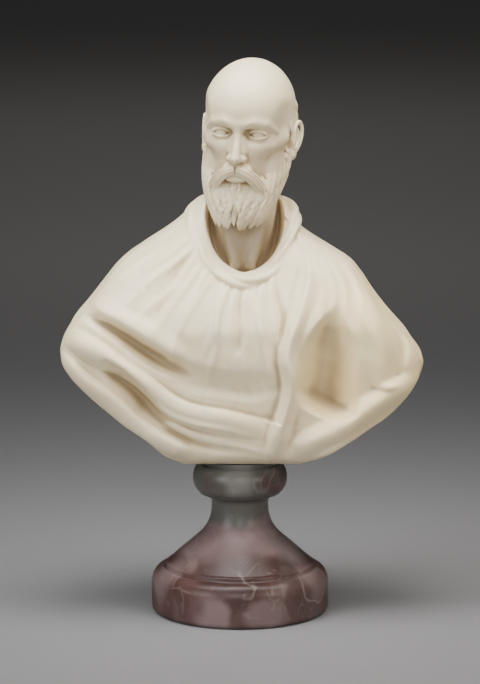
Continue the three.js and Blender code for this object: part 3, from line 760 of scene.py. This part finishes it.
# The mantle's two edges on the chest, under the right arm and across, and down from the left shoulder,
# and the hem of the first one below
ROLL = [(-124, 201), (-104, 192), (-84, 180.5), (-64, 168.5), (-46, 157), (-24, 146), (0, 139), (22, 135)]
EDGE = [
    (37, 268), (44, 252), (45, 238), (40, 221), (35, 204), (33, 188), (33, 171), (30, 153), (25, 133),
    (19, 109),
]
HEM = [(-128, 190), (-109, 174), (-90, 159.5), (-70, 144.5), (-50, 130), (-30, 119)]
ROLL_THICK, EDGE_THICK = 2.8, 2.6

# Great folds of the mantle: its rolled edge round the right arm and the hollows on both sides of it,
# the rim of its lower hem, the edge that hangs from the left shoulder, the deep pocket beside that, the
# folds of the sleeve and the turned-out rim below them. Each has its line, its rises along it, its
# spreads to the left and right of it, and its crest.
GREAT_FOLDS = [
    (ROLL, (6, 3.5), ((7, 8), (8, 10)), "rolled"),
    ([(-114, 216), (-96, 207), (-75, 196), (-54, 185), (-32, 175)], (-4, -9, -14, -12),
     ((6, 9, 11), (5, 7, 9)), "hollow"),
    ([(-112, 227), (-97, 220), (-76, 210), (-56, 199), (-38, 189)], (2, 4.5, 3), ((9, 12), (6, 7)), "soft"),
    ([(-56, 184), (-36, 174), (-12, 167), (10, 165), (30, 168)], (-3.5, -4), ((14, 18), (9, 11)), "hollow"),
    ([(-96, 185), (-84, 174), (-72, 163), (-59, 152), (-44, 141)], (-7, -13, -15),
     ((8, 9), (10, 11)), "hollow"),
    ([(-62, 150), (-40, 134), (-14, 124), (10, 119)], (-4, -3), ((5, 5), (6, 6)), "hollow"),
    (HEM, (4, 5), ((5, 6), (8, 9)), "rolled"),
    ([(-92, 181), (-78, 170), (-60, 158), (-40, 147), (-16, 138), (16, 129)], (1.4, 3),
     ((3.5, 4), (4, 4.5)), "pinched"),
    ([(-52, 144), (-30, 132), (-6, 124), (20, 119)], (2.4, 3), ((4, 4), (4, 5)), "pinched"),
    (EDGE, (3, 5, 9.5, 6), ((10, 11), (7, 8)), "soft"),
    ([(67, 228), (65, 212), (62, 196), (59, 180), (56, 164), (50, 148)], (-1, -8, -18, -25, -26, -20),
     ((8, 14, 20, 25, 28, 27), (7, 12, 17, 21, 23, 21)), "bowl"),
    ([(84, 240), (92, 214), (97, 194), (101, 176), (102, 164)], (4, 5), ((9, 12), (10, 12)), "soft"),
    ([(95, 232), (107, 208), (113, 192), (116, 180)], (-2, -3.5), ((4, 5), (4, 5)), "hollow"),
    ([(34, 124), (58, 136), (78, 147), (98, 158), (120, 173)], (6, 9), ((10, 11), (13, 13)), "soft"),
    ([(-28, 258), (-46, 234), (-60, 208)], (-1.5, -3.2), ((6, 8), (6, 8)), "hollow"),
    ([(3, 234), (1, 212), (-4, 190)], (-1.5, -3), ((5, 7), (5, 7)), "hollow"),
    ([(25, 240), (30, 215), (31, 192)], (-1.5, -3), ((4, 5), (5, 7)), "hollow"),
]
collar_starts = [(-35, 273), (-31, 261), (-26, 253), (-18, 245), (-8, 240), (2, 237), (13, 239), (24, 246)]
pleat_ends = [(-122, 222), (-101, 209), (-78, 196), (-54, 182), (-29, 168), (0, 157), (20, 154), (33, 164)]
PLEATS = 14
for i, share in enumerate(np.linspace(0.02, 0.97, PLEATS) + chance.uniform(-0.022, 0.022, PLEATS)):
    start, end = (curve(points, share) for points in (collar_starts, pleat_ends))
    length = (1.0, 0.62, 1.0, 0.8)[i % 4]
    end = start + (end - start) * length
    middle = (start + end) / 2 + (chance.uniform(-5, 5), -6 * (1 - share))
    height, width = chance.uniform(1.3, 2.6), chance.uniform(4, 7.5)
    GREAT_FOLDS.append(([start, middle, end], (height, 0.55 * height), ((3, width), (3.4, width)), "pinched"))
MANTLE_PLEATS = 5
for share in np.linspace(0.1, 0.92, MANTLE_PLEATS) + chance.uniform(-0.05, 0.05, MANTLE_PLEATS):
    start = curve([(42, 270), (48, 272), (56, 266)], share)
    end = curve([(52, 208), (74, 204), (106, 206)], share)
    middle = (start + end) / 2 + (6, 4)
    height = chance.uniform(1.6, 2.6)
    GREAT_FOLDS.append(([start, middle, end], (height, height), ((3.5, 5.5), (3.5, 5.5)), "pinched"))

# No line of carved cloth is quite even, and the chisel's marks stay on it
wander = chance.uniform(0, 2 * math.pi, 8)
x_drift = 1.6 * np.sin(z / 17 + x / 41 + wander[0]) + 0.9 * np.sin(z / 7.5 - x / 16 + wander[1])
z_drift = 1.6 * np.sin(x / 19 - z / 37 + wander[2]) + 0.9 * np.sin(x / 8.5 + z / 14 + wander[3])
chisel = 0.14 * np.sin(x / 2.9 + z / 5.3 + wander[4]) * np.sin(z / 3.7 - x / 7.9 + wander[5])
front_x, front_z = (x + x_drift)[:, 0], (z + z_drift)[:, 0]
front_folds = sum(fold(*each[:3], front_x, front_z, each[3]) for each in GREAT_FOLDS)
mantle = np.maximum(
    layer(np.array(ROLL) + (0, 8), ROLL_THICK, front_x, front_z),
    layer(EDGE[::-1], EDGE_THICK, front_x, front_z),
)
front_folds = front_folds + mantle + chisel[:, 0]

back_folds = chisel[:, 0]
BACK_FOLDS, SIDE_FOLDS = 11, 5
for i in range(BACK_FOLDS):
    share = i / (BACK_FOLDS - 1) * 2 - 1 + chance.uniform(-0.05, 0.05)
    line = [
        (3 + 30 * share, 280 - 14 * abs(share)), (52 * share, 226), (78 * share, 176),
        (86 * share, 112 + 26 * abs(share)),
    ]
    height, kind = chance.uniform(2.4, 4.8), ("soft", "pinched")[i % 2]
    back_folds = back_folds + fold(line, (0.5 * height, height), ((5, 10), (5, 10)), front_x, front_z, kind)
side_folds = {}
side_y, side_z = (y + z_drift[:1])[0], (z + 0 * y)[0]
for side in (-1, 1):
    total = 0
    for share in np.linspace(-1, 1, SIDE_FOLDS) + chance.uniform(-0.1, 0.1, SIDE_FOLDS):
        line = [(6 * share + 4, 262), (18 * share + 2, 226), (25 * share, 190), (26 * share, 150)]
        total = total + fold(line, (1, 2.2), ((5, 7), (5, 7)), side_y, side_z)
    side_folds[side] = total[None]

# The block between chest, back and sides, cut off above at the neck and below along the arc
across = np.maximum(1 - (np.abs(x) / REACH) ** ROUNDNESS, 0.001) ** (1 / ROUNDNESS)
before = -y - through(CHEST)(z) * across - front_folds[:, None].astype(np.float32)
behind = y - through(BACK)(z) * across - back_folds[:, None].astype(np.float32)
outline = np.where(x < 0, through(RIGHT_OUTLINE)(z), through(LEFT_OUTLINE)(z)) - 1.2
flare = np.gradient(outline, cloth.cell, axis=2)
beside = (np.abs(x) - outline - np.where(x < 0, side_folds[-1], side_folds[1])) / np.hypot(1, flare)
side_blend = (24 - 13 * np.clip((np.abs(x) - 70) / 45, 0, 1)).astype(np.float32)
cloth.gap = meet(meet(before, beside, side_blend), meet(behind, beside, side_blend), 1.0).astype(np.float32)
cloth.gap = meet(cloth.gap, z - CLOTH_TOP, 2.5).astype(np.float32)

cut_height = np.where(x < 0, through(RIGHT_CUT)(np.abs(x)), through(LEFT_CUT)(np.abs(x)))
tilt = np.gradient(cut_height, cloth.cell, axis=0)
under = (np.maximum(cut_height, FOOT) - z) / np.hypot(1, tilt)
cut_blend = 2.5 + 6 * np.exp(-((x / 52) ** 4))
cloth.gap = meet(cloth.gap, under, cut_blend.astype(np.float32)).astype(np.float32)

# The throat in the opening of the collar, and the rolled collar round it
cloth.cut(egg((3.5, -13, 287), (27.5, 40, 48), (14, 0, 0)), 2)
cloth.add(cord([(1, 12, 232), (5, 8.5, 318)], [24, 21.5]), 1.5)
for side in (-1, 1):
    sinew = [(5 + side * 19, 9, 318), (3 + side * 14, -4.5, 284), (2 + side * 5, -14.5, 246)]
    cloth.add(cord(sinew, [5, 4.6, 3.6]), 5)
cloth.add(egg((2.5, -13, 277), (4.2, 4.6, 6.5)), 5)
cloth.cut(egg((2, -21, 241), (5.5, 6, 8)), 6)
collar = [
    (3.5, 36, 288), (-22, 28, 286), (-33, 8, 281), (-33, -9, 271), (-28, -19, 257), (-18, -28, 245),
    (1, -34.5, 238), (18, -31, 242), (29, -20, 255), (36, -9, 271), (37, 8, 281), (27, 28, 286),
    (3.5, 36, 288),
]
COLLAR_ROLLS, COLLAR_TWIST, COLLAR_STEPS = 3, 2.2, 60
ring = curve(collar, np.linspace(0, 1, COLLAR_STEPS))
along = np.gradient(ring, axis=0)
along /= np.linalg.norm(along, axis=1)[:, None]
out = outwards(ring, (3, 2, 262))
up = np.cross(along, out)
for roll in range(COLLAR_ROLLS):
    turn = 2 * math.pi * (COLLAR_TWIST * np.linspace(0, 1, COLLAR_STEPS) + roll / COLLAR_ROLLS)
    path = ring + 2.3 * (np.cos(turn)[:, None] * out + np.sin(turn)[:, None] * up)
    cloth.add(cord(path, 2.6 + 0.5 * np.sin(3 * turn)), 0.9)

bust = cloth.mesh("bust_carved")
head_piece = head.mesh("head_carved")
to_metres, to_millimetres = Matrix.Diagonal((MM, MM, MM, 1)), Matrix.Diagonal((1 / MM,) * 3 + (1,))
head_piece.data.transform(to_metres @ head_place @ to_millimetres)
union = bust.modifiers.new("head", "BOOLEAN")
union.operation, union.solver, union.object = "UNION", "MANIFOLD", head_piece
MOST_FACES = 190000


def settle(piece):
    """The piece's mesh with its modifiers worked in"""
    worked = bpy.data.meshes.new_from_object(piece.evaluated_get(bpy.context.evaluated_depsgraph_get()))
    piece.modifiers.clear()
    piece.data = worked


settle(bust)
bpy.data.objects.remove(head_piece)
triangles = sum(len(face.vertices) - 2 for face in bust.data.polygons)
thinning = bust.modifiers.new("fewer_faces", "DECIMATE")
thinning.ratio = min(MOST_FACES / triangles, 1)
settle(bust)
bust.data.shade_smooth()

# How sunk each point of the stone lies, close about it and further off, for the dust in the hollows and for
# the painted shade in them
corners = np.empty(3 * len(bust.data.vertices))
bust.data.vertices.foreach_get("co", corners)
corners = corners.reshape(-1, 3) / MM
to_head = np.array(head_place.inverted())
in_head = corners @ to_head[:3, :3].T + to_head[:3, 3]
sunk = np.zeros(len(corners))
for spread, weight in ((1.6, 0.4), (5, 0.4), (12, 0.5)):
    stone = np.maximum(cloth.read(cloth.matter(spread), corners), head.read(head.matter(spread), in_head))
    sunk += weight * (stone - 0.5) * 2
hollow = bust.data.attributes.new("hollow", "FLOAT", "POINT")
hollow.data.foreach_set("value", np.clip(sunk, -1, 1).astype(np.float32))

CREAM, IVORY, GREY_VEIN = (0.92, 0.79, 0.545), (0.84, 0.68, 0.43), (0.58, 0.53, 0.46)
HONEY, DUST_AND_SHADE = (0.60, 0.44, 0.23), (0.25, 0.175, 0.09)
GOLD, LEFT_ARM = (0.92, 0.74, 0.40), (0.092, -0.01, 0.18)  # a yellow bed in the block
TAN_AND_SHADE, FACE = (0.52, 0.41, 0.26), (0.004, -0.036, 0.325)  # a browner tone below the brow: partly the stone's own tone, partly painted shade of the face
THROAT = (0.004, -0.016, 0.265)  # where the painted shadow that the beard casts on the throat lies
white_marble = Finish("white_marble", IOR=1.5, Subsurface_Weight=0.12, Subsurface_Scale=0.004)
white_marble.shader.inputs["Subsurface Radius"].default_value = (1.0, 0.75, 0.45)
sunken = white_marble.node("ShaderNodeAttribute", {"attribute_name": "hollow"})["Fac"]
drifts = white_marble.noise(0.06, 4, white_marble.shifted(0.05, 0.06))
stone_colour = white_marble.mix(CREAM, IVORY, drifts.between(0.38, 0.72) * 0.6)
veins = (white_marble.noise(0.09, 3, white_marble.shifted(0.09, 0.07)) - 0.5).size().between(0.016, 0.001)
stone_colour = white_marble.mix(stone_colour, GREY_VEIN, veins * 0.2)
on_arm = (white_marble.away(LEFT_ARM) + 0.03 * drifts).between(0.1, 0.06) * sunken.between(0.3, 0.05)
stone_colour = white_marble.mix(stone_colour, GOLD, on_arm * 0.8)
# Partly painted shade: the face and beard below the brow are made browner and darker
on_face = (white_marble.away(FACE) + 0.02 * drifts).between(0.062, 0.034)
stone_colour = white_marble.mix(stone_colour, TAN_AND_SHADE, on_face * 0.5)
# Honey tone and dark dust by how sunk the stone lies: partly the stone's own patina and dust, partly painted
# shade in the recesses, folds and throat
stone_colour = white_marble.mix(stone_colour, HONEY, sunken.between(0.02, 0.3) * 0.5)
stone_colour = white_marble.mix(stone_colour, DUST_AND_SHADE, (sunken + 0.12 * drifts).between(0.15, 0.5) * 0.7)
# Painted shadow under the beard, on the throat
beard_shadow = (white_marble.away(THROAT) + 0.012 * drifts).between(0.038, 0.02)
stone_colour = white_marble.mix(stone_colour, DUST_AND_SHADE, beard_shadow * 0.8)
white_marble.show(Base_Color=stone_colour, Roughness=0.36 + 0.2 * sunken.between(-0.1, 0.3) + 0.1 * drifts)
white_marble.relief(white_marble.noise(0.0016, 4) * 0.6 + 0.4 * white_marble.noise(0.006, 2), 0.00006)

bust.data.materials.clear()
bust.data.materials.append(white_marble.material)
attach(bust, "root")
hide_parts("bust")


# The studio
# A plain pale floor that runs far back and falls into shade. Soft lights stand overhead, in front and to
# the left, a weak one to the right, and three over the floor behind. The camera looks down a little
# from a few paces away.

FLOOR_REACH = 9.0
floor_mesh = bpy.data.meshes.new("floor")
floor_mesh.from_pydata(
    [(FLOOR_REACH * x, FLOOR_REACH * y, 0) for x, y in ((-1, -1), (1, -1), (1, 1), (-1, 1))],
    [], [(0, 1, 2, 3)],
)
floor = bpy.data.objects.new("floor", floor_mesh)
bpy.context.scene.collection.objects.link(floor)
paper = Finish("pale_paper", Base_Color=(0.19, 0.188, 0.196, 1), Roughness=0.9)
floor.data.materials.append(paper.material)

world = bpy.data.worlds.new("studio")
bpy.context.scene.world = world
world.use_nodes = True
world.node_tree.nodes["Background"].inputs["Color"].default_value = (0.8, 0.85, 1, 1)
world.node_tree.nodes["Background"].inputs["Strength"].default_value = 0.002


def soft_light(name, place, aim, size, power, colour, spread=180):
    """A square lamp of a size and a power in watts, with its beam's spread in degrees"""
    light = bpy.data.lights.new(name, "AREA")
    light.spread = math.radians(spread)
    light.size, light.energy, light.color = size, power, colour
    lamp = bpy.data.objects.new(name, light)
    lamp.location = place
    lamp.rotation_euler = (Vector(aim) - Vector(place)).to_track_quat("-Z", "Y").to_euler()
    bpy.context.scene.collection.objects.link(lamp)


MIDDLE = (0, 0, 0.2)
soft_light("top", (0, -0.15, 0.95), MIDDLE, 0.4, 1.55, (1, 0.97, 0.93), 80)
soft_light("top_left", (-0.35, -0.25, 0.9), MIDDLE, 0.4, 1.25, (1, 1, 1), 80)
soft_light("top_right", (0.4, -0.2, 0.9), MIDDLE, 0.4, 0.95, (1, 0.97, 0.92), 80)
soft_light("left", (-1.3, -1.2, 0.7), MIDDLE, 0.8, 15, (0.96, 1, 1))
soft_light("right", (0.6, -0.7, 0.4), (0.05, 0, 0.2), 0.3, 2.6, (1, 0.96, 0.88))
soft_light("front", (0, -2.2, 0.9), MIDDLE, 1.0, 16, (1, 0.99, 0.98))
soft_light("middle", (0, 1.4, 1.0), (0, 1.4, 0), 0.8, 0.9, (1, 0.97, 0.93), 110)
soft_light("back", (0, 2.6, 1.3), (0, 2.5, 0), 1.2, 5.2, (1, 0.96, 0.88))
soft_light("far_back", (0, 8, 4), (0, 8, 0), 5.0, 30, (1, 0.97, 0.93))

CAMERA_AWAY = 2.4
PIXEL = 0.000695  # metres at the bust's axis
PHOTO_HEIGHT = 684
CAMERA_DOWN = math.radians(10.5)
aim = Vector((0, 0, 0.1903))  # the middle of the photo
view = bpy.data.cameras.new("view")
view.sensor_fit = "VERTICAL"
view.angle_y = 2 * math.atan(PHOTO_HEIGHT * PIXEL / 2 / CAMERA_AWAY)
camera = bpy.data.objects.new("camera", view)
bpy.context.scene.collection.objects.link(camera)
towards = Vector((0, math.cos(CAMERA_DOWN), -math.sin(CAMERA_DOWN)))
camera.location = aim - CAMERA_AWAY * towards
camera.rotation_euler = towards.to_track_quat("-Z", "Y").to_euler()
bpy.context.scene.camera = camera
